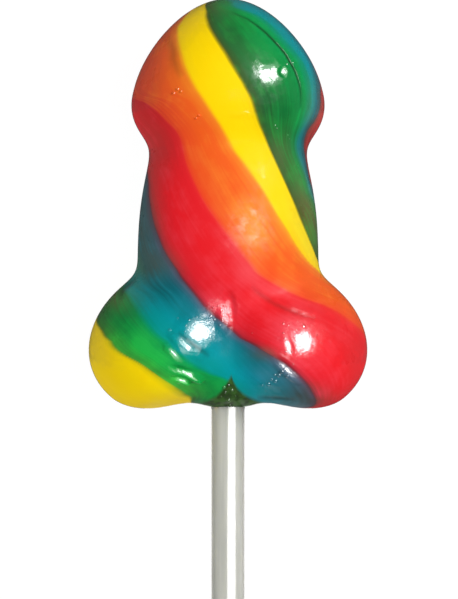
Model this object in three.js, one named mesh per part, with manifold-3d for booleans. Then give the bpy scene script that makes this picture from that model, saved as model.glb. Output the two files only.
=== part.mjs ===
// A swirl lollipop of moulded boiled sugar on a plastic stick, lying on its back.
// Units are millimetres. X runs across the candy, Y up from the stick to the domed cap,
// and Z out of the face that is shown. The origin is the bottom centre of the whole.
//
// The candy is one solid. Its skin is a smooth blend of six egg-shaped swellings:
// the domed cap, the barrel below it, two round lobes, the web between the lobes,
// and the collar round the stick. In this file h is the height above the lobes' lowest
// line, and z = 0 is the middle of the candy's depth, where the stick's axis lies.

import * as THREE from 'three';
import { mergeVertices } from 'three/addons/utils/BufferGeometryUtils.js';
import Module from 'manifold-3d';

// Each swelling: its centre (x, h), its half width, its reach up and down from the centre and
// its half depth. A taper above 0 narrows it upwards, and a depthTaper above 0 thins it upwards.
const CAP = {
  x: 0,
  h: 56.3,
  width: 16.7,
  up: 16.2,
  down: 12.9,
  depth: 13.1,
  taper: 0.22,
  depthTaper: 0.04,
  tilt: 0,
};
const BARREL = {
  x: 0,
  h: 28.8,
  width: 15.9,
  up: 30.2,
  down: 18.0,
  depth: 12.3,
  taper: 0,
  depthTaper: -0.11,
  tilt: 0,
};
const LOBE = {
  x: 11.0,
  h: 10.9,
  width: 13.1,
  up: 13.1,
  down: 9.4,
  depth: 13.0,
  taper: -0.12,
  depthTaper: 0.28,
  tilt: -45, // degrees
};
const WEB = {
  x: 0,
  h: 9.6,
  width: 13.6,
  up: 20.4,
  down: 8.5,
  depth: 10.0,
  taper: 0,
  depthTaper: 0,
  tilt: 0,
};
const COLLAR = {
  x: 0,
  h: 3.4,
  width: 4.0,
  up: 4.0,
  down: 2.5,
  depth: 4.5,
  taper: 0,
  depthTaper: 0,
  tilt: 0,
};

const BLEND = 1.5; // how far one swelling melts into the next
const TAPER_LIMIT = 1.2; // past this share of an egg's reach its tapers stop growing

const REST_DEPTH = 12.8; // the back is pressed flat at this depth, on three small spots

// The skin's mesh starts as an egg round the candy's spine and is pushed out from the spine.
const SPINE = { low: 12.0, high: 56.0 };
const START_EGG = { width: 18.0, reach: 40.0, depth: 13.0 };
const SKIN_DETAIL = 17; // edge splits of the icosahedron
const FAR_OUTSIDE = 60.0; // farther from the spine than any part of the candy
const BISECTIONS = 40;

const STICK_RADIUS = 3.0;
const STICK_LENGTH = 127.0;
const STICK_SUNK = 27.0; // the length held inside the candy
const STICK_CHAMFER = 0.3;
const SOCKET_GAP = 0.3;
const ROUND_SEGMENTS = 32;

const CANDY_COLOUR = 0xe8323a;
const STICK_COLOUR = 0xd6d6cc;

// About the distance to an egg's skin: below 0 inside, above 0 outside.
function eggDistance(egg, x, h, z) {
  const tilt = THREE.MathUtils.degToRad(egg.tilt);
  const across = Math.cos(tilt) * (x - egg.x) + Math.sin(tilt) * (h - egg.h);
  const along = -Math.sin(tilt) * (x - egg.x) + Math.cos(tilt) * (h - egg.h);
  const reach = along > 0 ? egg.up : egg.down;
  const share = THREE.MathUtils.clamp(along / reach, -TAPER_LIMIT, TAPER_LIMIT);
  const width = egg.width * (1 - egg.taper * share);
  const depth = egg.depth * (1 - egg.depthTaper * share);
  const size = Math.hypot(across / width, along / reach, z / depth);
  const slope = Math.hypot(across / width ** 2, along / reach ** 2, z / depth ** 2);
  return slope > 0 ? (size * (size - 1)) / slope : -reach;
}

// The candy's skin is where this is 0.
function candyDistance(x, h, z) {
  const distances = [
    eggDistance(CAP, x, h, z),
    eggDistance(BARREL, x, h, z),
    eggDistance(LOBE, x, h, z),
    eggDistance(LOBE, -x, h, z),
    eggDistance(WEB, x, h, z),
    eggDistance(COLLAR, x, h, z),
  ];
  const nearest = Math.min(...distances);
  const melted = distances.reduce((sum, d) => sum + Math.exp((nearest - d) / BLEND), 0);
  const blended = nearest - BLEND * Math.log(melted);
  return Math.max(blended, -REST_DEPTH - z);
}

// The point where a ray from a height on the spine leaves the candy.
function pushToSkin(spineHeight, direction) {
  let inside = 0;
  let outside = FAR_OUTSIDE;
  for (let step = 0; step < BISECTIONS; step += 1) {
    const middle = (inside + outside) / 2;
    const h = spineHeight + direction.y * middle;
    if (candyDistance(direction.x * middle, h, direction.z * middle) < 0) {
      inside = middle;
    } else {
      outside = middle;
    }
  }
  return new THREE.Vector3(0, spineHeight, 0).addScaledVector(direction, inside);
}

function candySkin() {
  const geometry = new THREE.IcosahedronGeometry(1, SKIN_DETAIL);
  geometry.deleteAttribute('normal');
  geometry.deleteAttribute('uv');
  const skin = mergeVertices(geometry);
  const position = skin.getAttribute('position');
  const stretch = new THREE.Vector3(START_EGG.width, START_EGG.reach, START_EGG.depth);
  const spineMiddle = (SPINE.low + SPINE.high) / 2;
  const spineHalf = (SPINE.high - SPINE.low) / 2;
  const direction = new THREE.Vector3();
  for (let i = 0; i < position.count; i += 1) {
    direction.fromBufferAttribute(position, i).multiply(stretch);
    const alongSpine = THREE.MathUtils.clamp(direction.y, -spineHalf, spineHalf);
    direction.y -= alongSpine;
    const point = pushToSkin(spineMiddle + alongSpine, direction.normalize());
    position.setXYZ(i, point.x, point.y, point.z);
  }
  return skin;
}

// The blind hole that holds the stick, from inside the candy to well below it.
function socketCutter() {
  const radius = STICK_RADIUS + SOCKET_GAP;
  const top = STICK_SUNK + SOCKET_GAP;
  const bottom = -STICK_SUNK;
  const geometry = new THREE.CylinderGeometry(radius, radius, top - bottom, ROUND_SEGMENTS);
  geometry.translate(0, (top + bottom) / 2, 0);
  geometry.deleteAttribute('normal');
  geometry.deleteAttribute('uv');
  return mergeVertices(geometry);
}

function toSolid(wasm, geometry) {
  const vertProperties = new Float32Array(geometry.getAttribute('position').array);
  const triVerts = new Uint32Array(geometry.getIndex().array);
  return new wasm.Manifold(new wasm.Mesh({ numProp: 3, vertProperties, triVerts }));
}

function toGeometry(solid) {
  const mesh = solid.getMesh();
  const geometry = new THREE.BufferGeometry();
  geometry.setAttribute('position', new THREE.BufferAttribute(mesh.vertProperties, 3));
  geometry.setIndex(new THREE.BufferAttribute(mesh.triVerts, 1));
  geometry.computeVertexNormals();
  return geometry;
}

function stickGeometry() {
  const top = STICK_SUNK;
  const bottom = STICK_SUNK - STICK_LENGTH;
  const profile = [
    new THREE.Vector2(0, bottom),
    new THREE.Vector2(STICK_RADIUS - STICK_CHAMFER, bottom),
    new THREE.Vector2(STICK_RADIUS, bottom + STICK_CHAMFER),
    new THREE.Vector2(STICK_RADIUS, top - STICK_CHAMFER),
    new THREE.Vector2(STICK_RADIUS - STICK_CHAMFER, top),
    new THREE.Vector2(0, top),
  ];
  return new THREE.LatheGeometry(profile, ROUND_SEGMENTS);
}

function namedMesh(name, geometry, look) {
  const mesh = new THREE.Mesh(geometry, new THREE.MeshStandardMaterial(look));
  mesh.name = name;
  return mesh;
}

const wasm = await Module();
wasm.setup();

const candySolid = toSolid(wasm, candySkin()).subtract(toSolid(wasm, socketCutter()));
const candy = namedMesh('candy', toGeometry(candySolid), {
  color: CANDY_COLOUR,
  roughness: 0.1,
  metalness: 0,
});
const stick = namedMesh('stick', stickGeometry(), {
  color: STICK_COLOUR,
  roughness: 0.3,
  metalness: 0,
});

const lollipop = new THREE.Group();
lollipop.add(candy, stick);

// The origin goes to the bottom centre of the whole.
const bounds = new THREE.Box3().setFromObject(lollipop);
const centre = bounds.getCenter(new THREE.Vector3());
lollipop.position.set(-centre.x, -centre.y, -bounds.min.z);

export default lollipop;
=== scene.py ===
"""A swirl lollipop of moulded boiled sugar on a translucent plastic stick, lying on its back.

Lengths are in millimetres until a mesh is finished, and h is the height above the lobes'
lowest line, along the stick. z is 0 in the middle of the candy's depth, and the front is
where z is above 0. Blender itself works in metres.
"""

import math

import bmesh
import bpy
import numpy as np
from mathutils import Matrix, Vector


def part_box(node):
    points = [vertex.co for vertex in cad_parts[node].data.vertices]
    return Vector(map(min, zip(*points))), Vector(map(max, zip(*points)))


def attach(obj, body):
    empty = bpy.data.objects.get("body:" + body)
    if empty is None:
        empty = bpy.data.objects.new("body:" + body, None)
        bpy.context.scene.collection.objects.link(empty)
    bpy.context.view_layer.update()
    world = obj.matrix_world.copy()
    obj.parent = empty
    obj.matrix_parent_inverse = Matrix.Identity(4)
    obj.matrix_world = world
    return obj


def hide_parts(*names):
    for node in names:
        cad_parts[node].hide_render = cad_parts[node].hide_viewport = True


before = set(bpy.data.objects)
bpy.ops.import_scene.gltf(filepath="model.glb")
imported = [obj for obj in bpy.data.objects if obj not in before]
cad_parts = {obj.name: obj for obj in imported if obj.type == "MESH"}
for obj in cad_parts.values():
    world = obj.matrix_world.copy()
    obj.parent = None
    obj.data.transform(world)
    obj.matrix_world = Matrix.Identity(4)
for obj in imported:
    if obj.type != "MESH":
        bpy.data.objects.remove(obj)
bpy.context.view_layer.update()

MM = 0.001
candy_low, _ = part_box("candy")
stick_low, stick_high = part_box("stick")

# -------- sizes of the lollipop

STICK_RADIUS = (stick_high.x - stick_low.x) / 2 / MM
STICK_LENGTH = (stick_high.y - stick_low.y) / MM
STICK_SUNK = 27.0  # the length held inside the candy
STICK_ROUNDING = 0.35
STICK_SIDES = 96
ROUNDING_STEPS = 4
RIM_ANGLE = 1.0  # in radians: only the rod's two rims are sharper
REST_DEPTH = 12.8  # the back is pressed flat at this depth
REST_MARGIN = 0.2  # skin this near to it stays smooth

BASE_Y = stick_high.y / MM - STICK_SUNK  # where h is 0, in the frame
MIDDLE_Z = candy_low.z / MM + REST_DEPTH  # where z is 0, in the frame

# The six swellings that melt into the candy's skin: centre (x, h), half width, reach up
# and down, half depth, the tapers of its width and depth, and a tilt in degrees.
CAP = (0.0, 56.3, 16.7, 16.2, 12.9, 13.1, 0.22, 0.04, 0.0)
BARREL = (0.0, 28.8, 15.9, 30.2, 18.0, 12.3, 0.0, -0.11, 0.0)
LOBE = (11.0, 10.9, 13.1, 13.1, 9.4, 13.0, -0.12, 0.28, -45.0)
WEB = (0.0, 9.6, 13.6, 20.4, 8.5, 10.0, 0.0, 0.0, 0.0)
COLLAR = (0.0, 3.4, 4.0, 4.0, 2.5, 4.5, 0.0, 0.0, 0.0)
# All six, with -1 for the left lobe, which mirrors the right one.
SWELLINGS = [(CAP, 1), (BARREL, 1), (LOBE, 1), (LOBE, -1), (WEB, 1), (COLLAR, 1)]
BLEND = 1.5  # how far one swelling melts into the next
TAPER_LIMIT = 1.2  # past this share of the reach a taper stops growing

SPINE = (12.0, 56.0)
START_EGG = (18.0, 40.0, 13.0)
FRONT_SHIFT = (0.0, 0.0, 5.0)  # gives the front a finer mesh than the back
FAR_OUTSIDE = 60.0
BISECTIONS = 34
SLOPE_STEP = 0.05
TINY = 1e-9  # keeps a division finite
SKIN_CUTS = 124  # cuts of each edge of the cube that the skin starts from

CROWN_SPAN = 16.0  # how far the skin counts on from the spine's top to the crown
FOOT_SPAN = 12.0  # and from the spine's foot to the candy's bottom
LEAN_HEIGHT = 58.0  # above this the stripes lean towards where they meet
CANDY_TOP = 72.5
CROWN_SHIFT = -2.8  # how far left of the middle the stripes meet at the top

# Where one stripe ends and the next begins. First the edge's way over the front, as (x, h)
# from the top down, then its way over the back and sides, as (along, angle): along is the
# height along the skin, and the angle goes round the candy, 0 at the front, 90 on the right.
# Stripes follow each other leftwards.
STRIPE_EDGES = [
    # red | blue, on the right
    ([(15.5, 59.6), (16.2, 57.6), (16.3, 55.6), (16.3, 53.5), (15.9, 52.0), (15.2, 50.6),
      (14.3, 49.5), (13.6, 48.0), (13.4, 46.2), (13.7, 44.2), (14.1, 42.1), (14.5, 40.1)],
     [(72, 110), (68, 104), (63, 96), (36, 106), (28, 128), (20, 146), (12, 166), (4, 185),
      (0, 196)]),
    # blue | green
    ([(0.3, 72.1), (1.8, 70.6), (3.6, 70.0), (5.2, 69.3), (6.6, 68.4), (8.0, 67.2), (9.3, 65.7),
      (10.6, 64.2), (11.8, 62.8), (12.9, 61.5), (13.6, 60.1), (14.1, 58.7), (14.5, 56.9),
      (14.6, 55.1), (14.5, 53.3), (14.0, 51.5), (13.4, 50.1), (12.7, 48.7), (12.2, 47.3),
      (12.1, 46.1), (12.5, 44.2), (13.3, 42.1), (13.9, 40.2), (14.5, 37.8)],
     [(34, 100), (28, 113), (20, 131), (12, 148), (4, 166), (0, 178)]),
    # green | yellow
    ([(-3.8, 71.6), (-3.9, 70.2), (-4.0, 68.9), (-3.7, 67.5), (-2.9, 66.0), (-1.8, 64.2),
      (-0.6, 62.4), (0.5, 60.5), (1.6, 58.7), (2.7, 56.9), (3.7, 55.1), (4.3, 53.7),
      (4.8, 52.0), (5.4, 50.2), (6.5, 47.7), (7.8, 44.7), (9.1, 41.9), (10.4, 39.1),
      (11.6, 36.3), (12.6, 33.7), (13.7, 31.1), (14.8, 28.6), (15.6, 26.6)],
     [(24, 98), (20, 108), (12, 130), (4, 150), (0, 163)]),
    # yellow | orange
    ([(-8.3, 68.2), (-8.8, 67.5), (-9.0, 66.1), (-8.9, 64.5), (-8.4, 62.1), (-7.9, 60.1),
      (-7.1, 58.3), (-6.1, 56.5), (-5.0, 54.9), (-3.9, 53.3), (-2.9, 51.8), (-1.7, 50.1),
      (-0.5, 48.1), (0.9, 45.5), (2.7, 43.2), (4.4, 40.8), (5.9, 38.7), (7.2, 36.5),
      (8.7, 33.9), (10.2, 31.6), (11.5, 29.4), (13.0, 27.3), (14.5, 25.6), (15.8, 24.5)],
     [(71, -95), (22, 94), (16, 108), (10, 122), (4, 138), (0, 150)]),
    # orange | red
    ([(-17.0, 55.1), (-15.1, 54.2), (-13.3, 53.1), (-11.9, 51.9), (-10.6, 50.5), (-9.4, 49.3),
      (-8.5, 47.9), (-8.0, 46.3), (-7.5, 44.2), (-6.8, 42.1), (-5.7, 39.5), (-4.6, 37.4),
      (-3.1, 35.0), (-1.6, 32.9), (-0.1, 30.9), (1.4, 29.0), (2.7, 27.1), (4.2, 25.2),
      (5.3, 23.8), (7.0, 22.7), (8.9, 21.6), (11.1, 20.5), (13.2, 19.6), (15.6, 18.8),
      (17.4, 18.1), (19.2, 17.2), (21.0, 16.0), (22.6, 14.8), (23.8, 13.7)],
     [(71, -128), (66, -112), (60, -98), (9, 98), (4, 116), (0, 128)]),
    # red | blue, on the left
    ([(-14.1, 40.8), (-14.0, 39.9), (-13.9, 37.8), (-13.5, 35.2), (-13.0, 32.9), (-12.1, 30.3),
      (-11.1, 27.9), (-9.9, 25.9), (-9.0, 24.6), (-8.0, 23.0), (-6.7, 21.4), (-5.1, 19.4),
      (-3.6, 17.6), (-2.0, 16.2), (-0.5, 15.0), (1.0, 13.7), (3.1, 12.1), (5.0, 11.2),
      (6.4, 10.3), (8.3, 9.2), (10.4, 7.8), (12.5, 6.0), (14.1, 4.3), (15.0, 2.9),
      (15.6, 1.1)],
     [(72, -164), (62, -144), (50, -112), (44, -96), (5.5, 92), (3, 100), (0, 108)]),
    # blue | green
    ([(-18.6, 21.4), (-17.5, 20.3), (-16.3, 18.7), (-15.2, 17.1), (-14.0, 15.4), (-12.6, 13.7),
      (-11.2, 12.5), (-9.6, 11.0), (-7.9, 9.6), (-6.0, 8.1), (-4.1, 6.9), (-2.3, 6.0),
      (-0.8, 5.5), (0.2, 5.0), (1.4, 3.6), (2.8, 1.8)],
     [(72, -202), (62, -182), (46, -146), (34, -118), (26, -100), (2, 60), (0, 70)]),
    # green | yellow
    ([(-23.2, 15.4), (-22.4, 14.0), (-21.3, 12.4), (-19.9, 10.7), (-18.3, 9.6), (-16.3, 8.6),
      (-14.5, 7.5), (-12.7, 6.2), (-11.0, 5.0), (-9.4, 3.9), (-7.8, 2.6), (-6.5, 1.5),
      (-5.7, 0.8)],
     [(72, -232), (62, -210), (46, -174), (30, -130), (20, -102), (2, -88), (0, -94)]),
    # yellow | orange
    ([], [(72, -255), (60, -230), (48, -210), (36, -188), (24, -164), (12, -138), (4, -128),
          (0, -125)]),
    # orange | red
    ([], [(72, -280), (66, -266), (60, -256), (54, -250), (41, -238), (20, -185), (8, -158),
          (0, -145)]),
]

# The cleft between the lobes: a crease, rounded at the bottom, with a slope on either side.
CLEFT_X = 1.0
CLEFT_LOW, CLEFT_HIGH = 2.5, 21.5
CLEFT_HALF_WIDTH = 4.6
CLEFT_DEPTH = 0.42
CLEFT_SHARPNESS = 1.6
CLEFT_ROUNDING = 0.5

FRONT_FADE = 2.0  # what only the front has fades out at the sides over this depth
LIP_PLACE = 2.0  # half widths from a fold's groove to its lip

# Folds where soft sugar doubled over in the mould, each a path (x, h) on the front with the
# groove's depth and half width, the height of the lip on the path's left, and how dark it is
# painted: painted shade in a groove's bottom, and a real dark seam where a fold has no groove.
# A depth below 0 makes a ridge.
FOLDS = [
    # in the cap's green
    ([(0.5, 69.8), (1.8, 69.3), (3.4, 68.6), (5.0, 67.5), (6.6, 66.2), (7.9, 64.9), (9.1, 63.6),
      (10.1, 62.4), (10.9, 61.0), (11.7, 59.6), (12.2, 58.3), (12.6, 56.9), (12.8, 55.6),
      (12.8, 54.2), (12.7, 52.6)], 0.12, 0.22, 0.0, 0.85),
    # across the red of the right lobe
    ([(3.9, 21.6), (6.0, 19.9), (8.2, 18.5), (10.5, 17.5), (13.2, 16.5), (15.4, 15.8)],
     0.1, 0.36, 0.12, 0.3),
    # where the barrel meets the left lobe
    ([(-16.4, 23.2), (-17.5, 22.2), (-18.6, 21.3), (-19.0, 20.3), (-18.8, 19.2)],
     0.28, 0.5, 0.1, 0.5),
    # beside the left lobe's shine
    ([(-3.2, 9.3), (-4.6, 10.3), (-6.3, 11.6), (-7.8, 12.7), (-8.8, 13.6)], 0.16, 0.4, 0.0, 0.55),
    # ridges in the left lobe's green
    ([(-14.1, 7.5), (-11.7, 7.2), (-9.1, 6.8)], -0.08, 0.45, 0.0, 0.0),
    ([(-12.2, 11.4), (-10.6, 10.4)], -0.08, 0.45, 0.0, 0.0),
    # along the lower edge of the right lobe's blue
    ([(5.0, 2.0), (8.5, 1.9), (12.0, 1.6)], 0.1, 0.36, 0.04, 0.5),
    # the dark seam beside the cap's yellow, which has no groove
    ([(-10.6, 66.0), (-10.2, 64.6), (-9.6, 63.2), (-9.5, 61.4), (-8.9, 59.6), (-8.0, 58.2)],
     0.0, 0.75, 0.0, 0.32),
    # the ledge under the cap
    ([(0.4, 51.7), (2.6, 51.6), (5.2, 51.4)], -0.12, 0.3, 0.0, 0.0),
]

# Bulges that face right and up: centre (x, h), the turn of the long axis in degrees, half
# length, half width, and how strongly each bends along and across that axis, in 1/mm.
BULGE_FALL_RIGHT, BULGE_FALL_UP = 0.36, 0.24  # how fast the skin falls at a bulge's centre
LEAST_SLANT = 0.3  # keeps the relief finite where the skin turns away
BULGE_PLATEAU = 1.5  # a third of its radius is the bulge alone, and the rest melts into the skin
BULGES = [
    # on the cap
    (7.1, 59.0, 0, 4.0, 4.0, 0.043, 0.067),
    (9.85, 59.2, 0, 1.25, 1.25, 0.13, 0.13),
    # on the left lobe
    (-5.0, 13.5, 0, 5.0, 5.0, 0.045, 0.05),
    (-7.5, 11.1, -38, 4.4, 1.3, 0.045, 0.16),
    (-9.5, 9.8, -40, 2.8, 0.9, 0.05, 0.3),
    (-8.2, 5.2, -12, 2.2, 0.7, 0.08, 0.4),
    (-7.3, 6.4, -22, 3.8, 0.9, 0.035, 0.28),
    # beside the cleft
    (-0.4, 16.6, 80, 4.4, 2.0, 0.04, 0.07),
    # on the right lobe
    (13.3, 11.8, 0, 4.0, 4.0, 0.06, 0.05),
    (10.4, 11.3, -65, 2.4, 1.1, 0.06, 0.18),
    (10.2, 7.1, -42, 4.4, 1.2, 0.04, 0.16),
]

# Fine ridges that run along the stripes.
RIDGE_SEED = 7
RIDGE_COUNTS = range(46, 150, 8)  # ridges round the candy
RIDGE_HEIGHT = 0.0007
DULL_RIDGE_HEIGHT = 0.0022
RIDGE_DRIFT = 30.0  # radians of its wave that a ridge may drift off the stripes
RIDGE_FADE = 3.0  # the depth over which the ridges fade out at the sides

# Blisters in the skin: (x, h, radius).
BLISTERS = [
    # on the cap
    (10.4, 60.6, 0.26), (11.5, 60.9, 0.16), (8.3, 49.7, 0.2),
    (8.6, 49.2, 0.16), (10.5, 48.1, 0.18), (10.8, 47.5, 0.16),
    # beside the cleft
    (-2.7, 17.9, 0.24), (-1.8, 18.1, 0.2), (-0.7, 18.0, 0.26), (-3.0, 16.4, 0.28),
    (-2.3, 15.8, 0.32), (-1.2, 16.9, 0.18), (-1.4, 14.8, 0.2),
    # on the left lobe
    (-10.2, 13.9, 0.36), (-8.8, 16.0, 0.18), (-5.5, 16.2, 0.28), (-7.6, 13.6, 0.2),
    (-6.8, 15.6, 0.22), (-3.2, 15.4, 0.2), (-7.3, 14.6, 0.16), (-3.0, 12.2, 0.16),
    # on the right lobe
    (4.2, 13.4, 0.18), (9.7, 15.1, 0.24), (10.6, 14.8, 0.2), (9.7, 13.4, 0.24),
    (9.9, 12.4, 0.22), (11.2, 10.1, 0.24), (10.1, 10.2, 0.24), (13.3, 14.6, 0.3),
    (11.4, 7.9, 0.26), (15.6, 13.0, 0.2), (12.0, 14.0, 0.18), (11.6, 12.8, 0.16),
]
# Rounder ones, as beads.
BEADS = [
    # in the cap's orange
    (-9.5, 55.4, 0.34), (-8.8, 56.1, 0.3), (-8.2, 55.7, 0.28), (-5.6, 51.0, 0.26),
    (-5.1, 51.5, 0.26),
    # in the blue at the right lobe's foot
    (6.0, 4.3, 0.3), (7.1, 4.5, 0.42), (7.6, 5.3, 0.3), (8.3, 5.0, 0.36), (8.2, 6.1, 0.26),
    (8.9, 6.1, 0.5), (9.5, 6.8, 0.4), (10.4, 6.1, 0.36),
    # where the stick goes in
    (-0.7, 3.8, 0.34), (0.1, 4.1, 0.3), (-0.5, 2.9, 0.26), (0.7, 3.2, 0.34), (0.1, 1.5, 0.4),
    (0.3, 0.6, 0.4), (-1.2, 2.2, 0.2), (1.3, 2.3, 0.18),
]
BLISTER_SLOPE, BEAD_SLOPE = 38.0, 75.0  # how steeply the rim stands up, in degrees
BLISTER_DETAIL = 3
MIDWAY = 0.5  # how far along the streaks a blister takes its colour

# Soft spots, each a centre (x, h), its spread both ways and its amount.
# Where the colours ran into each other and went dull, as at the crown, and painted shade
# that darkens and dulls the sides: the cap's left and right rim, the neck, the barrel's sides
# and the lobes' outer edges and feet.
DULL_AND_SHADED_PLACES = [
    # the cap's left
    (-14.5, 58.5, 5.0, 9.0, 0.8),
    # the crown
    (-3.0, 72.0, 6.0, 2.2, 0.5),
    # the cap's right rim
    (16.8, 53.0, 2.4, 7.0, 1.0), (14.6, 47.5, 1.4, 5.0, 0.8),
    # the neck
    (-12.8, 46.5, 4.0, 4.5, 0.8), (9.5, 45.0, 2.6, 4.5, 0.45),
    # the barrel's sides
    (-15.8, 32.0, 3.6, 9.0, 1.0), (-13.0, 25.5, 4.5, 2.6, 0.7), (14.2, 34.0, 3.6, 9.0, 0.95),
    # the left lobe
    (-19.5, 20.0, 3.0, 2.4, 0.8), (-24.0, 12.0, 3.0, 6.0, 0.4),
    # the right lobe
    (13.5, 2.4, 3.8, 2.2, 0.9), (6.5, 9.8, 2.4, 1.2, 0.8), (22.6, 8.0, 2.4, 6.0, 0.3),
    (18.0, 1.6, 6.0, 1.6, 0.3),
]
# Where air was pulled into the sugar and left it pale, and where a haze of highlight round the
# glints is painted pale.
PALE_SUGAR_AND_HAZE_PLACES = [
    # the left lobe's green
    (-9.0, 4.6, 4.6, 2.6, 1.0), (-11.0, 9.4, 3.4, 1.8, 0.8), (-14.6, 12.6, 2.4, 2.2, 0.5),
    (-16.6, 10.4, 3.6, 2.4, 0.8), (-13.6, 8.0, 2.0, 1.2, 0.5), (-20.0, 12.6, 2.4, 2.4, 0.5),
    # the red that borders on orange
    (4.0, 23.6, 2.4, 2.4, 0.7), (8.2, 20.8, 3.0, 1.3, 0.6), (13.5, 18.4, 3.2, 1.1, 0.5),
    # the middle of the barrel: painted highlight haze
    (3.4, 31.5, 3.6, 7.0, 0.9),
    # the right lobe, and beside the cleft: mostly painted highlight haze round the glints
    (14.5, 9.0, 3.4, 5.0, 0.35), (3.0, 6.5, 3.5, 3.0, 0.3), (11.0, 15.6, 3.2, 1.8, 0.4),
    (10.6, 13.0, 3.0, 3.0, 0.8), (-1.4, 17.6, 3.0, 2.4, 0.9), (6.3, 5.6, 2.4, 1.8, 0.6),
    (15.6, 2.6, 2.2, 0.8, 0.5), (9.6, 5.4, 3.4, 1.1, 0.5),
]

# Where the skin shines most. The further past 1, the fewer gaps its shine has.
SHINE_PLACES = [
    # the cap
    (6.9, 58.8, 1.7, 1.2, 3.5), (9.9, 59.2, 1.2, 1.2, 1.4), (7.4, 58.8, 3.6, 3.2, 0.2),
    (-9.2, 55.6, 1.6, 1.2, 0.45), (-5.3, 51.3, 1.0, 1.0, 0.35), (2.6, 51.6, 3.0, 0.7, 0.8),
    (9.5, 48.5, 1.8, 1.6, 0.5),
    # the barrel
    (3.4, 31.8, 4.0, 5.8, 0.32), (2.6, 32.4, 0.8, 0.9, 1.0), (4.5, 29.8, 0.6, 0.8, 0.7),
    (4.4, 34.6, 0.6, 0.6, 0.6),
    # the left lobe
    (-5.0, 13.5, 1.9, 1.8, 3.5), (-5.2, 13.4, 3.8, 3.4, 0.8), (-7.6, 11.2, 2.6, 0.85, 1.5),
    (-9.4, 9.9, 1.3, 0.8, 1.4), (-7.4, 5.9, 2.8, 1.3, 1.5),
    # beside the cleft
    (-0.2, 17.2, 1.6, 2.8, 2.2), (0.2, 11.2, 2.2, 2.2, -0.5), (-2.4, 17.4, 1.8, 1.8, 1.1),
    # the right lobe
    (13.3, 11.8, 1.4, 1.6, 3.5), (12.0, 13.2, 4.2, 3.4, 1.0), (12.6, 8.2, 3.0, 1.6, -0.6),
    (10.5, 11.5, 1.2, 2.2, 1.6), (10.2, 7.1, 2.0, 1.6, 1.4), (8.0, 5.4, 2.4, 1.4, 1.8),
    (11.0, 17.2, 4.0, 1.0, 0.4),
    # round the stick
    (0.2, 2.6, 2.0, 2.8, 0.9),
]
PLAIN_SHINE = 0.03  # elsewhere on the front
SIDE_SHINE = 2.5
# From the first to the second the skin goes over from front to side, by how squarely it
# faces the front, and from level to foot, by how squarely it faces down.
FRONT_FACING, SIDE_FACING = 0.82, 0.7
LEVEL_FACING, FOOT_FACING = 0.0, 0.2

# Where tiny bubbles make the skin sparkle round the brightest glints, which are clear.
BUBBLY_PLACES = [
    (7.3, 58.8, 3.0, 2.6, 0.5), (7.1, 59.0, 1.4, 1.2, -0.6), (3.2, 31.8, 4.2, 6.0, 0.6),
    (-5.0, 13.5, 4.6, 4.0, 1.0), (-5.0, 13.5, 1.9, 1.7, -1.2), (-7.6, 11.2, 2.4, 0.9, -0.7),
    (10.4, 11.3, 0.9, 1.3, -0.6), (-0.8, 16.8, 2.4, 3.2, 1.6), (12.6, 12.0, 4.6, 4.2, 1.0),
    (13.3, 11.8, 1.5, 1.7, -1.2),
]

# Where the colour is darkened: thick, deep-coloured sugar in the cap's green, painted shade
# on the cap's left, and darker under the cap at the neck, where the barrel meets the left
# lobe and at the foot of the right lobe's blue.
DEEP_COLOUR_AND_SHADE_PLACES = [
    # the green of the cap and the neck
    (9.0, 53.5, 4.0, 5.0, 0.9), (1.5, 66.5, 2.2, 3.6, 0.5), (11.5, 47.0, 2.4, 4.0, 0.6),
    (14.6, 46.0, 1.6, 5.0, 0.6),
    # the cap's left, painted shade
    (-13.5, 55.0, 4.5, 8.0, 0.15),
    # the left lobe's blue
    (-12.0, 20.8, 4.6, 3.0, 0.85), (-18.0, 16.5, 3.2, 3.0, 0.4),
    # the foot of the right lobe's blue
    (12.8, 2.6, 3.4, 2.4, 0.6),
]

# Where neighbouring stripes were drawn into each other.
FRAYED_PLACES = [
    # the cap's left, the neck's right and the crown
    (-13.0, 53.5, 6.0, 6.0, 0.8), (12.8, 45.0, 3.0, 6.0, 0.35), (-1.0, 70.0, 5.0, 3.0, 0.3),
]

# The top of the dark green sugar that filled the gap round the stick, as (x, h).
COLLAR_TOP = [
    (-8.0, -3.0), (-7.2, 0.0), (-5.4, 0.7), (-3.6, 1.4), (-2.1, 2.2), (-1.1, 3.2),
    (-0.1, 4.6), (0.6, 5.8), (1.0, 4.6), (1.6, 3.6), (2.6, 2.7), (3.8, 2.0), (5.6, 1.2),
    (7.0, 0.5), (8.0, 0.0), (8.8, -3.0),
]
COLLAR_SOFTNESS = 0.8


# -------- the candy's shape


def egg_distance(egg, x, h, z):
    """About the distance to an egg's skin: below 0 inside, above 0 outside."""
    centre_x, centre_h, half_width, up, down, half_depth, taper, depth_taper, tilt = egg
    tilt = math.radians(tilt)
    across = math.cos(tilt) * (x - centre_x) + math.sin(tilt) * (h - centre_h)
    along = -math.sin(tilt) * (x - centre_x) + math.cos(tilt) * (h - centre_h)
    reach = np.where(along > 0, up, down)
    share = np.clip(along / reach, -TAPER_LIMIT, TAPER_LIMIT)
    width = half_width * (1 - taper * share)
    depth = half_depth * (1 - depth_taper * share)
    size = np.sqrt((across / width) ** 2 + (along / reach) ** 2 + (z / depth) ** 2)
    slope = np.sqrt((across / width**2) ** 2 + (along / reach**2) ** 2 + (z / depth**2) ** 2)
    return size * (size - 1) / np.maximum(slope, TINY)


def candy_distance(x, h, z):
    """The candy's smooth skin is where this is 0."""
    distances = np.stack([egg_distance(egg, side * x, h, z) for egg, side in SWELLINGS])
    nearest = distances.min(axis=0)
    melted = np.exp((nearest - distances) / BLEND).sum(axis=0)
    return np.maximum(nearest - BLEND * np.log(melted), -REST_DEPTH - z)


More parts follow.
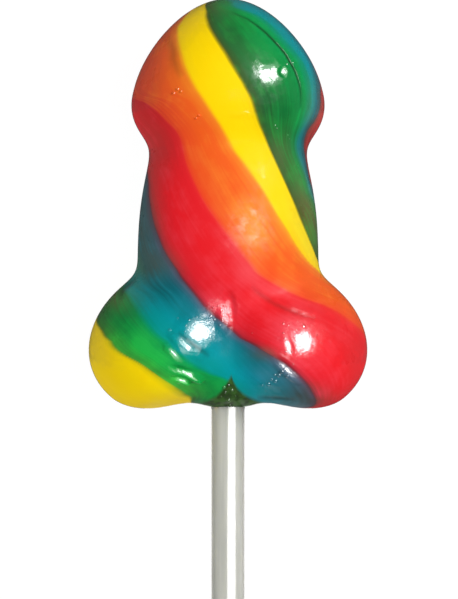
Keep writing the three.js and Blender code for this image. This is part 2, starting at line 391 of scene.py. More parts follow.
def push_to_skin(start, direction):
    """The points where rays from inside leave the candy."""
    inside = np.zeros(len(direction))
    outside = np.full(len(direction), FAR_OUTSIDE)
    for _ in range(BISECTIONS):
        middle = (inside + outside) / 2
        held = candy_distance(*(start + direction * middle[:, None]).T) < 0
        inside = np.where(held, middle, inside)
        outside = np.where(held, outside, middle)
    return start + direction * inside[:, None]


def skin_normals(skin):
    """Which way the smooth skin faces, from the slope of candy_distance."""
    slope = np.empty_like(skin)
    for axis in range(3):
        shift = np.zeros(3)
        shift[axis] = SLOPE_STEP
        slope[:, axis] = candy_distance(*(skin + shift).T) - candy_distance(*(skin - shift).T)
    return slope / np.linalg.norm(slope, axis=1)[:, None]


# -------- the stripes


def smooth_curve(points, along):
    """An angle at each height, on a smooth curve through (along, angle) points."""
    heights, angles = np.array(sorted(points), float).T
    slopes = np.gradient(angles, heights)
    along = np.clip(along, heights[0], heights[-1])
    place = np.clip(np.searchsorted(heights, along, side="right") - 1, 0, len(heights) - 2)
    span = heights[place + 1] - heights[place]
    t = (along - heights[place]) / span
    start, end = angles[place], angles[place + 1]
    start_slope, end_slope = slopes[place] * span, slopes[place + 1] * span
    return (
        (2 * t**3 - 3 * t**2 + 1) * start
        + (t**3 - 2 * t**2 + t) * start_slope
        + (3 * t**2 - 2 * t**3) * end
        + (t**3 - t**2) * end_slope
    )


def height_along(skin):
    """h beside the spine, and past its ends a height that counts on round the candy."""
    x, h, z = skin.T
    foot, top = SPINE
    reach = np.hypot(x, z)
    below = foot - FOOT_SPAN * np.arctan2(foot - h, reach) / (np.pi / 2)
    above = top + CROWN_SPAN * np.arctan2(h - top, reach) / (np.pi / 2)
    return np.where(h < foot, below, np.where(h > top, above, h))


def angle_round(skin):
    """The angle round the candy, about an axis that leans left at the crown."""
    x, h, z = skin.T
    lean = CROWN_SHIFT * np.clip((h - LEAN_HEIGHT) / (CANDY_TOP - LEAN_HEIGHT), 0, 1) ** 2
    return np.degrees(np.arctan2(x - lean, z))


def on_front(points):
    """The places on the front of the skin at (x, h)."""
    x, h = np.array(points, float).T
    start = np.stack([x, h, np.zeros_like(x)], axis=1)
    return push_to_skin(start, np.tile([0.0, 0.0, 1.0], (len(x), 1)))


def edge_points(front, hidden):
    """An edge's whole way as (along, angle)."""
    points = list(hidden)
    if front:
        skin = on_front(front)
        points += zip(height_along(skin), angle_round(skin))
    return points


def stripe_place(skin):
    """Where a point is in the stripes: 0 at the first edge, 1 after a whole turn leftwards."""
    along = height_along(skin)
    edges = [smooth_curve(edge_points(*edge), along) for edge in STRIPE_EDGES]
    edges.append(edges[0] - 360)
    angle = angle_round(skin)
    angle = edges[0] - np.mod(edges[0] - angle, 360)
    place = np.zeros(len(skin))
    for number in range(len(STRIPE_EDGES)):
        right, left = edges[number], edges[number + 1]
        within = (angle <= right) & (angle > left)
        place = np.where(within, number + (right - angle) / (right - left), place)
    return place / len(STRIPE_EDGES)


# -------- relief, dull places and painted shade


def path_distance(path, x, h):
    """The distance to a path, above 0 on its left, and the share of the path passed there."""
    corners = np.array(path)
    steps = np.diff(corners, axis=0)
    lengths = np.linalg.norm(steps, axis=1)
    passed = np.concatenate([[0], np.cumsum(lengths)])
    nearest = np.full(x.shape, np.inf)
    share = np.zeros(x.shape)
    sections = zip(corners, steps, lengths, passed)
    for (start_x, start_h), (step_x, step_h), length, before in sections:
        away_x, away_h = x - start_x, h - start_h
        t = np.clip((away_x * step_x + away_h * step_h) / length**2, 0, 1)
        gap = np.hypot(away_x - t * step_x, away_h - t * step_h)
        left = np.where(step_x * away_h > step_h * away_x, 1, -1)
        closer = gap < np.abs(nearest)
        nearest = np.where(closer, gap * left, nearest)
        share = np.where(closer, (before + t * length) / passed[-1], share)
    return nearest, share


def swell(share):
    """Rises from 0 at share 0 and falls back to 0 at share 1."""
    return np.sqrt(np.clip(np.sin(np.pi * np.clip(share, 0, 1)), 0, 1))


def fold_relief(x, h):
    height = np.zeros(x.shape)
    for path, depth, width, lip, _ in FOLDS:
        away, share = path_distance(path, x, h)
        groove = -depth * np.exp(-((away / width) ** 2))
        beside = lip * np.exp(-((away / width - LIP_PLACE) ** 2))
        height += (groove + beside) * swell(share)
    return height


def bulge_relief(skin, normals, height):
    """The relief once each bulge has taken over from what is under it."""
    x, h, z = skin.T
    slant = normals @ np.array([BULGE_FALL_RIGHT, BULGE_FALL_UP, 1.0])
    centres = on_front([bulge[:2] for bulge in BULGES])
    for (centre_x, centre_h, centre_z), bulge in zip(centres, BULGES):
        turn, half_length, half_width, bend_along, bend_across = bulge[2:]
        turn = math.radians(turn)
        right, up = x - centre_x, h - centre_h
        along = right * math.cos(turn) + up * math.sin(turn)
        across = up * math.cos(turn) - right * math.sin(turn)
        bulged = centre_z - BULGE_FALL_RIGHT * right - BULGE_FALL_UP * up
        bulged -= (bend_along * along**2 + bend_across * across**2) / 2
        reached = np.hypot(along / half_length, across / half_width)
        hold = np.clip(BULGE_PLATEAU * (1 - reached), 0, 1)
        hold = hold**2 * (3 - 2 * hold)
        height = height * (1 - hold) + (bulged - z) / np.maximum(slant, LEAST_SLANT) * hold
    return height


def cleft_relief(x, h):
    away = np.hypot(x - CLEFT_X, CLEFT_ROUNDING)
    nearness = np.clip(1 - away / CLEFT_HALF_WIDTH, 0, 1) ** CLEFT_SHARPNESS
    return -CLEFT_DEPTH * nearness * swell((h - CLEFT_LOW) / (CLEFT_HIGH - CLEFT_LOW))


def ridge_relief(place, along, dull):
    """Fine ridges along the stripes, taller where the colours are dull."""
    random = np.random.default_rng(RIDGE_SEED)
    height = np.zeros(place.shape)
    for count in RIDGE_COUNTS:
        shift = random.uniform(0, 2 * np.pi)
        drift = random.uniform(-RIDGE_DRIFT, RIDGE_DRIFT)
        height += np.cos(2 * np.pi * count * place + shift + drift * along)
    return height * (RIDGE_HEIGHT + DULL_RIDGE_HEIGHT * dull)


def soft_spots(places, x, h):
    """The sum of soft-edged spots."""
    amount = np.zeros(x.shape)
    for centre_x, centre_h, spread_x, spread_h, most in places:
        away = ((x - centre_x) / spread_x) ** 2 + ((h - centre_h) / spread_h) ** 2
        amount += most * np.exp(-away)
    return amount


def front_relief(skin, normals):
    x, h, _ = skin.T
    return bulge_relief(skin, normals, fold_relief(x, h) + cleft_relief(x, h))


def groove_shade_and_seam(x, h):
    """How dark a fold is painted, from 0 to 1: painted shade at a groove's bottom, and the real
    dark seam where a fold has no groove.
    """
    shade = np.zeros(x.shape)
    for path, _, width, _, darkness in FOLDS:
        away, share = path_distance(path, x, h)
        shade = np.maximum(shade, darkness * np.exp(-((away / width) ** 2)) * swell(share))
    return shade


def collar_share(x, h):
    """1 in the dark sugar round the stick, 0 elsewhere."""
    across, top = np.array(COLLAR_TOP).T
    return np.clip(0.5 + (np.interp(x, across, top) - h) / COLLAR_SOFTNESS, 0, 1)


def skin_values(skin):
    """The numbers that the sugar's colour and gloss read at each point."""
    x, h, z = skin.T
    front = z > 0
    normals = skin_normals(skin)
    side = np.clip((FRONT_FACING - normals[:, 2]) / (FRONT_FACING - SIDE_FACING), 0, 1)
    foot = np.clip((-normals[:, 1] - LEVEL_FACING) / (FOOT_FACING - LEVEL_FACING), 0, 1)
    side *= SIDE_SHINE * (1 - foot * np.clip(z / FRONT_FADE, 0, 1))
    shine = PLAIN_SHINE + side + soft_spots(SHINE_PLACES, x, h) * front
    return {
        # dull sugar, and painted shade on the sides
        "dull": np.minimum(soft_spots(DULL_AND_SHADED_PLACES, x, h), 1),
        # pale sugar, and painted highlight haze round the glints
        "pale": np.minimum(soft_spots(PALE_SUGAR_AND_HAZE_PLACES, x, h), 1),
        "shine": np.maximum(shine, PLAIN_SHINE),
        "frayed": np.minimum(soft_spots(FRAYED_PLACES, x, h), 1),
        "bubbly": np.clip(soft_spots(BUBBLY_PLACES, x, h), 0, 1) * front,
        # deep-coloured sugar, and painted shade on the cap's left
        "deep": np.minimum(soft_spots(DEEP_COLOUR_AND_SHADE_PLACES, x, h), 1) * front,
        # painted shade in the folds' grooves, and the real dark seam beside the cap's yellow
        "fold": groove_shade_and_seam(x, h) * front,
        "collar": collar_share(x, h),
    }


def raise_skin(skin, place, along, dull):
    """The skin with its folds, bulges, cleft and ridges."""
    z = skin[:, 2]
    normals = skin_normals(skin)
    height = front_relief(skin, normals) * np.clip(z / FRONT_FADE, 0, 1)
    height += ridge_relief(place, along, dull) * np.clip(np.abs(z) / RIDGE_FADE, 0, 1)
    height = np.where(z < REST_MARGIN - REST_DEPTH, 0, height)
    return skin + normals * height[:, None]


# -------- making the meshes


def new_piece(name, bm, material, smooth=True):
    mesh = bpy.data.meshes.new(name)
    bm.to_mesh(mesh)
    bm.free()
    if smooth:
        mesh.polygons.foreach_set("use_smooth", [True] * len(mesh.polygons))
    mesh.materials.append(material)
    piece = bpy.data.objects.new(name, mesh)
    bpy.context.scene.collection.objects.link(piece)
    return piece


def in_frame(points):
    """Points of the candy's own (x, h, z) as places in the frame, in metres."""
    return (points + np.array([0, BASE_Y, MIDDLE_Z])) * MM


def cube_sphere(cuts):
    """A sphere of even quads, as a bmesh: a finely cut cube pushed out to radius 1."""
    bm = bmesh.new()
    bmesh.ops.create_cube(bm, size=2.0)
    bmesh.ops.subdivide_edges(bm, edges=bm.edges[:], cuts=cuts, use_grid_fill=True)
    for vert in bm.verts:
        vert.co = Vector(math.tan(c * math.pi / 4) for c in vert.co).normalized()
    return bm


def make_candy(material):
    bm = cube_sphere(SKIN_CUTS)
    ball = np.array([vert.co for vert in bm.verts])
    direction = ball * np.array(START_EGG) + np.array(FRONT_SHIFT)
    half_spine = (SPINE[1] - SPINE[0]) / 2
    along_spine = np.clip(direction[:, 1], -half_spine, half_spine)
    start = np.zeros_like(ball)
    start[:, 1] = along_spine + (SPINE[0] + SPINE[1]) / 2
    direction[:, 1] -= along_spine
    direction /= np.linalg.norm(direction, axis=1)[:, None]
    skin = push_to_skin(start, direction)
    place = stripe_place(skin)
    along = np.arccos(np.clip(ball[:, 1], -1, 1)) / np.pi
    values = skin_values(skin)
    raised = in_frame(raise_skin(skin, place, along, values["dull"]))
    for vert, co in zip(bm.verts, raised):
        vert.co = co
    for name, numbers in values.items():
        layer = bm.verts.layers.float.new(name)
        for vert, number in zip(bm.verts, numbers):
            vert[layer] = number
    flow = bm.loops.layers.uv.new("flow")
    for face in bm.faces:
        corners = [vert.index for vert in face.verts]
        across = place[corners]
        if across.max() - across.min() > 0.5:  # the face crosses from 1 back to 0
            across = np.where(across < 0.5, across + 1, across)
        for loop, index, value in zip(face.loops, corners, across):
            loop[flow].uv = (value, along[index])
    return new_piece("candy_skin", bm, material)


def make_blisters(material):
    """Balls sunk in the skin, of which only a low cap shows."""
    x, h, radius = np.array(BLISTERS + BEADS).T
    skin = on_front(np.stack([x, h], axis=1))
    slope = np.radians([BLISTER_SLOPE] * len(BLISTERS) + [BEAD_SLOPE] * len(BEADS))
    balls = radius / np.sin(slope)
    normals = skin_normals(skin)
    depth = front_relief(skin, normals) - balls * np.cos(slope)
    centres = in_frame(skin + normals * depth[:, None])
    places = stripe_place(skin)
    values = skin_values(skin)
    bm = bmesh.new()
    flow = bm.loops.layers.uv.new("flow")
    layers = {name: bm.verts.layers.float.new(name) for name in values}
    for number, centre in enumerate(centres):
        spot = Matrix.Translation(Vector(centre))
        ball = balls[number] * MM
        made = bmesh.ops.create_icosphere(
            bm, subdivisions=BLISTER_DETAIL, radius=ball, matrix=spot
        )
        for vert in made["verts"]:
            for name, layer in layers.items():
                vert[layer] = values[name][number]
            for loop in vert.link_loops:
                loop[flow].uv = (places[number], MIDWAY)
    return new_piece("candy_blisters", bm, material)


def make_stick(material):
    bm = bmesh.new()
    bmesh.ops.create_cone(
        bm,
        cap_ends=True,
        segments=STICK_SIDES,
        radius1=STICK_RADIUS * MM,
        radius2=STICK_RADIUS * MM,
        depth=STICK_LENGTH * MM,
    )
    rims = [edge for edge in bm.edges if edge.calc_face_angle() > RIM_ANGLE]
    bmesh.ops.bevel(
        bm,
        geom=rims,
        offset=STICK_ROUNDING * MM,
        segments=ROUNDING_STEPS,
        profile=0.5,
        affect="EDGES",
        material=-1,
    )
    bmesh.ops.rotate(bm, verts=bm.verts, matrix=Matrix.Rotation(math.radians(-90), 3, "X"))
    middle = Vector((0, (stick_low.y + stick_high.y) / 2, MIDDLE_Z * MM))
    bmesh.ops.translate(bm, verts=bm.verts, vec=middle)
    return new_piece("stick_rod", bm, material)


# -------- node helpers


def feed(tree, socket, value):
    """Link a socket to another node's output, or set it to a plain value."""
    if isinstance(value, bpy.types.NodeSocket):
        tree.links.new(value, socket)
    else:
        socket.default_value = value


def calc(tree, operation, *values, clamp=False):
    node = tree.nodes.new("ShaderNodeMath")
    node.operation = operation
    node.use_clamp = clamp
    for socket, value in zip(node.inputs, values):
        feed(tree, socket, value)
    return node.outputs["Value"]


def mix_colours(tree, share, first, second):
    node = tree.nodes.new("ShaderNodeMix")
    node.data_type = "RGBA"  # whose two colours are inputs 6 and 7
    feed(tree, node.inputs[0], share)
    feed(tree, node.inputs[6], first)
    feed(tree, node.inputs[7], second)
    return node.outputs[2]


def noise(tree, vector, scale, detail=2.0):
    node = tree.nodes.new("ShaderNodeTexNoise")
    feed(tree, node.inputs["Vector"], vector)
    feed(tree, node.inputs["Scale"], scale)
    node.inputs["Detail"].default_value = detail
    return node.outputs["Fac"]


def from_range(tree, value, low, high, to_low=0.0, to_high=1.0):
    node = tree.nodes.new("ShaderNodeMapRange")
    feed(tree, node.inputs["Value"], value)
    node.inputs["From Min"].default_value = low
    node.inputs["From Max"].default_value = high
    feed(tree, node.inputs["To Min"], to_low)
    feed(tree, node.inputs["To Max"], to_high)
    return node.outputs["Result"]


def attribute(tree, name):
    node = tree.nodes.new("ShaderNodeAttribute")
    node.attribute_name = name
    return node.outputs["Fac"]


def linear(red, green, blue):
    """A screen colour from 0 to 255 as the linear colour that shaders take."""

    def one(value):
        value /= 255
        return value / 12.92 if value <= 0.04045 else ((value + 0.055) / 1.055) ** 2.4

    return (one(red), one(green), one(blue), 1.0)


def colour_ramp(tree, value, stops, end):
    """A ramp over colours given as (place, red, green, blue), whose last place is at most end."""
    ramp = tree.nodes.new("ShaderNodeValToRGB")
    feed(tree, ramp.inputs["Fac"], value)
    elements = ramp.color_ramp.elements
    elements.remove(elements[1])
    elements[0].position = stops[0][0] / end
    elements[0].color = linear(*stops[0][1:])
    for place, *colour in stops[1:]:
        elements.new(place / end).color = linear(*colour)
    return ramp.outputs["Color"]


# -------- materials

# The five stripes from right to left, as (place, red, green, blue). 0 to 1 is the blue one,
# then come green, yellow, orange and red, in clear sugar, in dull sugar that also serves as
# painted shade, and in pale sugar that also serves as painted highlight haze.
CLEAR_COLOURS = [
    (0.00, 112, 50, 58), (0.03, 84, 84, 104), (0.10, 60, 102, 122), (0.22, 20, 116, 132),
    (0.30, 4, 124, 138), (0.50, 2, 132, 142), (0.70, 0, 147, 155), (0.92, 0, 148, 145),
    (1.02, 0, 146, 112), (1.12, 0, 152, 78), (1.40, 10, 144, 66), (1.65, 24, 124, 58),
    (1.86, 36, 108, 54), (1.955, 56, 90, 42), (1.985, 90, 98, 28), (2.015, 206, 180, 8),
    (2.04, 255, 217, 0), (2.90, 255, 215, 0), (2.96, 254, 198, 6), (3.00, 249, 160, 26),
    (3.04, 244, 128, 34), (3.25, 242, 98, 30), (3.60, 242, 94, 28), (3.93, 240, 78, 34),
    (3.985, 240, 70, 38), (4.02, 236, 44, 44), (4.10, 233, 34, 42), (4.50, 236, 28, 38),
    (4.85, 226, 32, 44), (4.96, 190, 36, 48), (4.99, 130, 42, 54),
]
# dull sugar, also the painted shade of the sides
DULL_AND_SHADED_COLOURS = [
    (0.00, 98, 74, 76), (0.12, 78, 94, 94), (0.50, 62, 100, 98), (0.90, 78, 146, 112),
    (1.10, 70, 122, 74), (1.45, 98, 112, 62), (1.80, 104, 94, 54), (1.97, 88, 96, 40),
    (2.03, 232, 206, 40), (2.50, 238, 214, 44), (2.92, 236, 190, 40), (2.98, 230, 152, 50),
    (3.04, 234, 106, 44), (3.30, 234, 92, 46), (3.60, 230, 78, 50), (3.88, 216, 60, 50),
    (4.10, 198, 44, 46), (4.50, 204, 52, 52), (4.88, 180, 68, 62), (4.96, 150, 80, 74),
]
PALE_SUGAR_AND_HAZE_COLOURS = [
    (0.00, 110, 60, 80), (0.05, 96, 112, 132), (0.20, 62, 132, 152), (0.50, 14, 150, 172),
    (0.95, 0, 158, 170), (1.06, 24, 168, 108), (1.20, 34, 180, 78), (1.60, 34, 184, 72),
    (1.96, 66, 184, 60), (2.01, 214, 208, 20), (2.05, 255, 226, 6), (2.85, 255, 220, 8),
    (3.00, 250, 172, 50), (3.12, 249, 152, 48), (3.60, 250, 150, 54), (3.93, 244, 112, 50),
    (4.00, 242, 92, 76), (4.04, 240, 72, 78), (4.50, 242, 74, 88), (4.92, 234, 62, 80),
    (4.985, 150, 50, 66),
]
COLLAR_DARK = linear(42, 66, 30)
COLLAR_LIGHT = linear(60, 98, 42)
# painted shade for the bottoms of the folds' grooves, and the colour of the dark seam
GROOVE_SHADE_AND_SEAM_COLOUR = linear(16, 34, 20)
DEEPEST_COLOUR_AND_SHADE = 0.45  # the share of the light that the darkening takes, deep colour and painted shade alike

SUGAR_IOR = 1.5
BUBBLE_IOR = 2.6  # air under a thin skin of sugar glints more than the sugar itself
SUGAR_COAT, BUBBLE_COAT = 0.06, 0.1  # the roughness of their shiny skin

STRIPES_IN_A_TURN = len(STRIPE_EDGES)
COLOURS = 5
ACROSS_BROAD, ALONG_BROAD = 3.2, 2.4  # how often the broad streaks change, round and along
ACROSS_FINE, ALONG_FINE = 28.0, 9.0
BROAD_WANDER, FINE_WANDER = 0.012, 0.01  # how far the streaks push the stripes' edges
FRAY, FINE_FRAY = 0.2, 0.15  # how much further where frayed, and the fine streaks' part
STREAK_SHARE, WAVER, LEAST_WAVER = 0.45, 0.5, 0.12  # how streaky dull and pale sugar, with its painted shade and haze, is
DEPTH_STREAKS = 2.0
CLOUD_LEAST, CLOUD_MOST = -0.16, 0.2  # what soft clouds add to how pale it is
SUGAR_SPECULAR = 0.06  # under its shiny skin the sugar mirrors little
GAP_SHINE, FULL_SHINE = 0.2, 1.5  # the shine's share in its gaps and between them
SMOOTHED = -0.3  # what full shine adds to the roughness
SUGAR_GLOSS = {"Scale": 260.0, "Smoothest": 0.55, "Roughest": 0.7}
WAVES_IN_A_PATCH = 3.0

# The part of the noise that makes the whole change in each.
CLOUD_RANGE, COLLAR_RANGE, GAP_RANGE = (0.35, 0.65), (0.4, 0.6), (0.38, 0.62)
GLOSS_RANGE, GRAIN_RANGE = (0.35, 0.68), (0.3, 0.7)
LEAST_DETAIL, SOME_DETAIL, MOST_DETAIL = 1.0, 3.0, 4.0  # of the noise
# Patches to a metre.
CLOUD_SCALE, COLLAR_SCALE, GAP_SCALE = 240.0, 700.0, 900.0
WAVE_SCALE, BUBBLE_SCALE = 780.0, 3800.0
# Heights of the bumps, in metres.
STREAK_BUMP, WAVE_BUMP = 0.000018, 0.000035
BUBBLE_BUMP, COAT_BUBBLE_BUMP = 0.000045, 0.00007

STICK_DARK, STICK_LIGHT = linear(194, 195, 188), linear(208, 208, 201)
STICK_IOR = 1.7
STICK_SCATTER, SCATTER_DEPTH = (1.0, 1.0, 0.9), 0.004  # by colour, and in metres
STICK_COAT_ROUGHNESS = 0.04
STICK_GLOSS = {"Scale": 300.0, "Smoothest": 0.1, "Roughest": 0.2}
GRAIN_SCALE = 1400.0
GRAIN_STRETCH = (1.0, 0.04, 1.0)  # drawn out along the stick
GRAIN_BUMP = 0.00002

FLOOR_COLOUR, FLOOR_GLOW = (0.06, 0.06, 0.06, 1), 0.97
FLOOR_ROUGHNESS, FLOOR_SPECULAR = 0.9, 0.1


def streak_vector(tree, flow, across, along):
    """Coordinates that wrap round the candy without a seam and run along the stripes."""
    parts = tree.nodes.new("ShaderNodeSeparateXYZ")
    tree.links.new(flow, parts.inputs["Vector"])
    angle = calc(tree, "MULTIPLY", parts.outputs["X"], 2 * math.pi)
    joined = tree.nodes.new("ShaderNodeCombineXYZ")
    feed(tree, joined.inputs["X"], calc(tree, "MULTIPLY", calc(tree, "COSINE", angle), across))
    feed(tree, joined.inputs["Y"], calc(tree, "MULTIPLY", calc(tree, "SINE", angle), across))
    feed(tree, joined.inputs["Z"], calc(tree, "MULTIPLY", parts.outputs["Y"], along))
    return joined.outputs["Vector"]


def new_group(name, kinds, results):
    """A node group with inputs of the given kinds and values as results."""
    group = bpy.data.node_groups.new(name, "ShaderNodeTree")
    for socket, kind in kinds.items():
        group.interface.new_socket(socket, in_out="INPUT", socket_type=f"NodeSocket{kind}")
    for socket in results:
        group.interface.new_socket(socket, in_out="OUTPUT", socket_type="NodeSocketFloat")
    inside = group.nodes.new("NodeGroupInput").outputs
    return group, inside, group.nodes.new("NodeGroupOutput").inputs


def sugar_streaks_group():
    """Streaks drawn out along the flow of the sugar: a broad and a fine value, each about 0."""
    group, inside, outside = new_group("sugar_streaks", {"Flow": "Vector"}, ["Broad", "Fine"])
    broad = streak_vector(group, inside["Flow"], ACROSS_BROAD, ALONG_BROAD)
    broad = noise(group, broad, 1.0, SOME_DETAIL)
    fine = streak_vector(group, inside["Flow"], ACROSS_FINE, ALONG_FINE)
    fine = noise(group, fine, 1.0, MOST_DETAIL)
    feed(group, outside["Broad"], calc(group, "SUBTRACT", broad, 0.5))
    feed(group, outside["Fine"], calc(group, "SUBTRACT", fine, 0.5))
    return group


def uneven_gloss_group():
    """A roughness that drifts between two values, and a faint waviness for bump."""
    kinds = {"Place": "Vector", "Scale": "Float", "Smoothest": "Float", "Roughest": "Float"}
    group, inside, outside = new_group("uneven_gloss", kinds, ["Roughness", "Waviness"])
    place, scale = inside["Place"], inside["Scale"]
    patches = noise(group, place, scale, SOME_DETAIL)
    closer = calc(group, "MULTIPLY", scale, WAVES_IN_A_PATCH)
    ends = inside["Smoothest"], inside["Roughest"]
    feed(group, outside["Roughness"], from_range(group, patches, *GLOSS_RANGE, *ends))
    feed(group, outside["Waviness"], noise(group, place, closer, LEAST_DETAIL))
    return group


def use_group(tree, group, **values):
    node = tree.nodes.new("ShaderNodeGroup")
    node.node_tree = group
    for name, value in values.items():
        feed(tree, node.inputs[name], value)
    return node.outputs


def bump(tree, height, distance, normal=None):
    node = tree.nodes.new("ShaderNodeBump")
    feed(tree, node.inputs["Height"], height)
    node.inputs["Distance"].default_value = distance
    if normal is not None:
        feed(tree, node.inputs["Normal"], normal)
    return node.outputs["Normal"]


def new_material(name):
    material = bpy.data.materials.new(name)
    material.use_nodes = True
    tree = material.node_tree
    return material, tree, tree.nodes["Principled BSDF"]


def streaked(tree, amount, broad, fine):
    """An amount of dull sugar with painted shade, or of pale sugar with painted highlight haze,
    drawn out into streaks.
    """
    share = calc(tree, "MULTIPLY_ADD", broad, STREAK_SHARE, amount)
    wavering = calc(tree, "MULTIPLY_ADD", amount, WAVER, LEAST_WAVER)
    return calc(tree, "ADD", share, calc(tree, "MULTIPLY", fine, wavering), clamp=True)


def candy_material(name, streaks, gloss, ior, coat_roughness):
    material, tree, shader = new_material(name)
    shader.inputs["IOR"].default_value = ior
    shader.inputs["Specular IOR Level"].default_value = SUGAR_SPECULAR
    shader.inputs["Coat Roughness"].default_value = coat_roughness
    shader.inputs["Coat IOR"].default_value = ior

    place = tree.nodes.new("ShaderNodeTexCoord").outputs["Object"]
    uv = tree.nodes.new("ShaderNodeUVMap")
    uv.uv_map = "flow"
    flow = uv.outputs["UV"]
    streak = use_group(tree, streaks, Flow=flow)
    broad, fine = streak["Broad"], streak["Fine"]
    dull = attribute(tree, "dull")

    parts = tree.nodes.new("ShaderNodeSeparateXYZ")
    feed(tree, parts.inputs["Vector"], flow)
    stripe = calc(tree, "MULTIPLY", parts.outputs["X"], STRIPES_IN_A_TURN / COLOURS)
    stripe = calc(tree, "MULTIPLY_ADD", broad, BROAD_WANDER, stripe)
    stripe = calc(tree, "MULTIPLY_ADD", fine, FINE_WANDER, stripe)
    frayed = calc(tree, "MULTIPLY", attribute(tree, "frayed"), FRAY)
    drift = calc(tree, "MULTIPLY_ADD", fine, FINE_FRAY, broad)
    stripe = calc(tree, "ADD", stripe, calc(tree, "MULTIPLY", drift, frayed))
    stripe = calc(tree, "FRACT", stripe)
    clear = colour_ramp(tree, stripe, CLEAR_COLOURS, COLOURS)
    dulled_and_shaded = colour_ramp(tree, stripe, DULL_AND_SHADED_COLOURS, COLOURS)

    # dull sugar, and painted shade on the sides
    colour = mix_colours(tree, streaked(tree, dull, broad, fine), clear, dulled_and_shaded)
    # pale sugar, and painted highlight haze round the glints
    paled_and_hazed = colour_ramp(tree, stripe, PALE_SUGAR_AND_HAZE_COLOURS, COLOURS)
    opposite = calc(tree, "MULTIPLY", fine, -1.0)
    clouds = noise(tree, place, CLOUD_SCALE, SOME_DETAIL)
    cloud = from_range(tree, clouds, *CLOUD_RANGE, CLOUD_LEAST, CLOUD_MOST)
    pale = calc(tree, "ADD", attribute(tree, "pale"), cloud)
    share = streaked(tree, pale, opposite, opposite)
    colour = mix_colours(tree, share, colour, paled_and_hazed)

    # darker where the sugar is deep-coloured, and painted shade
    uneven = calc(tree, "MULTIPLY_ADD", fine, DEPTH_STREAKS, 1.0)
    depth = calc(tree, "MULTIPLY", attribute(tree, "deep"), uneven)
    depth = calc(tree, "MULTIPLY", depth, DEEPEST_COLOUR_AND_SHADE, clamp=True)
    colour = mix_colours(tree, depth, colour, (0.0, 0.0, 0.0, 1.0))

    patch = from_range(tree, noise(tree, place, COLLAR_SCALE), *COLLAR_RANGE)
    collar = mix_colours(tree, patch, COLLAR_DARK, COLLAR_LIGHT)
    colour = mix_colours(tree, attribute(tree, "collar"), colour, collar)
    # painted shade in the folds' grooves, and the dark seam beside the cap's yellow
    colour = mix_colours(tree, attribute(tree, "fold"), colour, GROOVE_SHADE_AND_SEAM_COLOUR)
    feed(tree, shader.inputs["Base Color"], colour)

    gaps = noise(tree, place, GAP_SCALE)
    clean = from_range(tree, gaps, *GAP_RANGE, GAP_SHINE, FULL_SHINE)
    shine = calc(tree, "MULTIPLY", attribute(tree, "shine"), clean, clamp=True)
    feed(tree, shader.inputs["Coat Weight"], shine)
    skin = use_group(tree, gloss, Place=place, **SUGAR_GLOSS)
    roughness = calc(tree, "MULTIPLY_ADD", shine, SMOOTHED, skin["Roughness"])
    feed(tree, shader.inputs["Roughness"], roughness)
    normal = bump(tree, fine, STREAK_BUMP)
    normal = bump(tree, skin["Waviness"], WAVE_BUMP, normal)
    bubbles = noise(tree, place, BUBBLE_SCALE, LEAST_DETAIL)
    bubbles = calc(tree, "MULTIPLY", bubbles, attribute(tree, "bubbly"))
    feed(tree, shader.inputs["Normal"], bump(tree, bubbles, BUBBLE_BUMP, normal))
    waves = bump(tree, noise(tree, place, WAVE_SCALE, LEAST_DETAIL), WAVE_BUMP)
    feed(tree, shader.inputs["Coat Normal"], bump(tree, bubbles, COAT_BUBBLE_BUMP, waves))
    return material


def stick_material(gloss):
    material, tree, shader = new_material("frosted_plastic")
    place = tree.nodes.new("ShaderNodeTexCoord").outputs["Object"]
    mapping = tree.nodes.new("ShaderNodeMapping")
    feed(tree, mapping.inputs["Vector"], place)
    mapping.inputs["Scale"].default_value = GRAIN_STRETCH
    drawn = noise(tree, mapping.outputs["Vector"], GRAIN_SCALE, SOME_DETAIL)
    share = from_range(tree, drawn, *GRAIN_RANGE)
    colour = mix_colours(tree, share, STICK_DARK, STICK_LIGHT)
    feed(tree, shader.inputs["Base Color"], colour)
    shader.inputs["Subsurface Weight"].default_value = 1.0
    shader.inputs["Subsurface Radius"].default_value = STICK_SCATTER
    shader.inputs["Subsurface Scale"].default_value = SCATTER_DEPTH
    shader.inputs["Coat Weight"].default_value = 1.0
    shader.inputs["IOR"].default_value = STICK_IOR
    shader.inputs["Coat IOR"].default_value = STICK_IOR
    shader.inputs["Coat Roughness"].default_value = STICK_COAT_ROUGHNESS
    skin = use_group(tree, gloss, Place=place, **STICK_GLOSS)
    feed(tree, shader.inputs["Roughness"], skin["Roughness"])
    feed(tree, shader.inputs["Normal"], bump(tree, drawn, GRAIN_BUMP))
    return material


def floor_material():
    material, tree, shader = new_material("pale_floor")
    shader.inputs["Base Color"].default_value = FLOOR_COLOUR
    shader.inputs["Roughness"].default_value = FLOOR_ROUGHNESS
    shader.inputs["Specular IOR Level"].default_value = FLOOR_SPECULAR
    shader.inputs["Emission Color"].default_value = (1, 1, 1, 1)
    shader.inputs["Emission Strength"].default_value = FLOOR_GLOW
    return material


# -------- floor, camera, lights

PICTURE_WIDTH, PICTURE_HEIGHT = 458, 599  # pixels
PIXELS_PER_MM = 5.65
MIDDLE_COLUMN = 228.0  # the pixel column of x = 0
BASE_ROW = 408.4  # the pixel row of h = 0
CAMERA_DISTANCE = 1000.0
SENSOR = 36.0
AIM_HEIGHT = 32.0  # the lights point at this height on the candy
FLOOR_HALF, BACKDROP_RADIUS = 3.0, 8.0  # metres
CARD_WIDTH, CARD_LENGTH = 30.0, 37.0
CARD_HEIGHT = 0.05  # above the floor

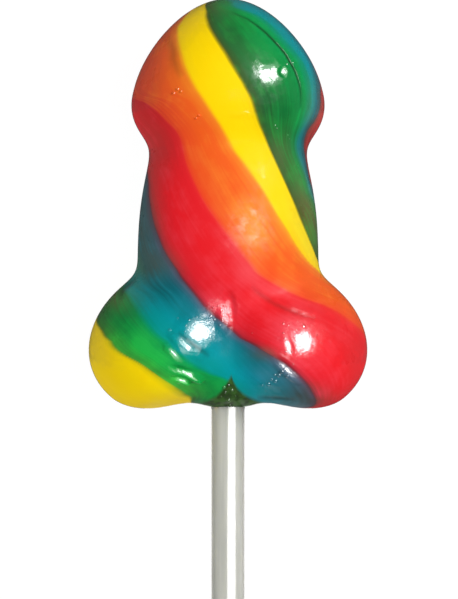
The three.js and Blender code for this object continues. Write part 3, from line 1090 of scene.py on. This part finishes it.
# The lights: degrees right and up of the view, metres away, then width, height and watts.
KEY_PLACE = (41.5, 30, 1.0)
KEY = (0.26, 0.26, 4.9)
SOFT_PLACE = (24, -4, 1.2)
SOFT = (1.3, 0.5, 7.2)
FILL_PLACE = (-36, -24, 1.5)
FILL = (1.6, 1.6, 10.5)
GLOW_PLACE = (41.5, 30, 1.02)  # round the key
GLOWS = [(0.42, 0.42, 2.0), (0.62, 0.62, 3.0), (0.9, 0.9, 6.0)]
WORLD_STRENGTH = 0.06


def flat_square(name, material):
    bm = bmesh.new()
    bmesh.ops.create_grid(bm, x_segments=1, y_segments=1, size=FLOOR_HALF)
    return new_piece(name, bm, material, smooth=False)


def make_floor():
    """A floor and a far backdrop that nothing mirrors, and a card that the stick mirrors."""
    material = floor_material()
    floor = flat_square("floor", material)
    card = flat_square("card", material)
    place = Matrix.Translation(Vector((0, BASE_Y - CARD_LENGTH / 2, CARD_HEIGHT)) * MM)
    half_sizes = Vector((CARD_WIDTH, CARD_LENGTH, 0)) * MM / 2 / FLOOR_HALF
    card.data.transform(place @ Matrix.Diagonal((half_sizes.x, half_sizes.y, 1, 1)))
    bm = bmesh.new()
    bmesh.ops.create_uvsphere(bm, u_segments=48, v_segments=24, radius=BACKDROP_RADIUS)
    backdrop = new_piece("backdrop", bm, material)
    backdrop.visible_diffuse = False
    backdrop.visible_shadow = False
    floor.visible_glossy = False
    backdrop.visible_glossy = False


def make_camera():
    data = bpy.data.cameras.new("camera")
    camera = bpy.data.objects.new("camera", data)
    bpy.context.scene.collection.objects.link(camera)
    seen_x = (PICTURE_WIDTH / 2 - MIDDLE_COLUMN) / PIXELS_PER_MM
    seen_h = (BASE_ROW - PICTURE_HEIGHT / 2) / PIXELS_PER_MM
    camera.location = Vector((seen_x, seen_h + BASE_Y, MIDDLE_Z + CAMERA_DISTANCE)) * MM
    data.sensor_width = SENSOR
    data.lens = SENSOR * CAMERA_DISTANCE * PIXELS_PER_MM / PICTURE_HEIGHT
    data.clip_start = 0.05
    data.clip_end = 20.0
    bpy.context.scene.camera = camera


def add_area_light(name, right, up, distance, width, height, strength):
    """An area light that lies right and up of the view, in degrees, facing the candy."""
    data = bpy.data.lights.new(name, "AREA")
    data.shape = "ELLIPSE"
    data.size = width
    data.size_y = height
    data.energy = strength
    light = bpy.data.objects.new(name, data)
    bpy.context.scene.collection.objects.link(light)
    towards = Vector((math.tan(math.radians(right)), math.tan(math.radians(up)), 1)).normalized()
    aim = Vector((0, BASE_Y + AIM_HEIGHT, MIDDLE_Z)) * MM
    light.location = aim + towards * distance
    across = Vector((0, 1, 0)).cross(towards).normalized()
    facing = Matrix((across, towards.cross(across), towards)).transposed()
    light.rotation_euler = facing.to_euler()
    light.visible_camera = False
    return light


def make_lights():
    scene = bpy.context.scene
    world = bpy.data.worlds.new("studio")
    world.use_nodes = True
    background = world.node_tree.nodes["Background"]
    background.inputs["Color"].default_value = (1, 1, 1, 1)
    background.inputs["Strength"].default_value = WORLD_STRENGTH
    scene.world = world
    add_area_light("key", *KEY_PLACE, *KEY)
    add_area_light("soft", *SOFT_PLACE, *SOFT)
    for glow_size in GLOWS:
        glow = add_area_light("glow", *GLOW_PLACE, *glow_size)
        glow.visible_diffuse = False
    fill = add_area_light("fill", *FILL_PLACE, *FILL)
    fill.visible_glossy = False
    scene.view_settings.view_transform = "Standard"


# -------- the scene

streaks_group = sugar_streaks_group()
gloss_group = uneven_gloss_group()
groups = (streaks_group, gloss_group)
sugar = candy_material("boiled_sugar", *groups, SUGAR_IOR, SUGAR_COAT)
bubbled = candy_material("bubbled_sugar", *groups, BUBBLE_IOR, BUBBLE_COAT)

candy = make_candy(sugar)
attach(candy, "root")
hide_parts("candy")

blisters = make_blisters(bubbled)
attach(blisters, "root")

stick = make_stick(stick_material(gloss_group))
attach(stick, "root")
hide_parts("stick")

make_floor()
make_camera()
make_lights()
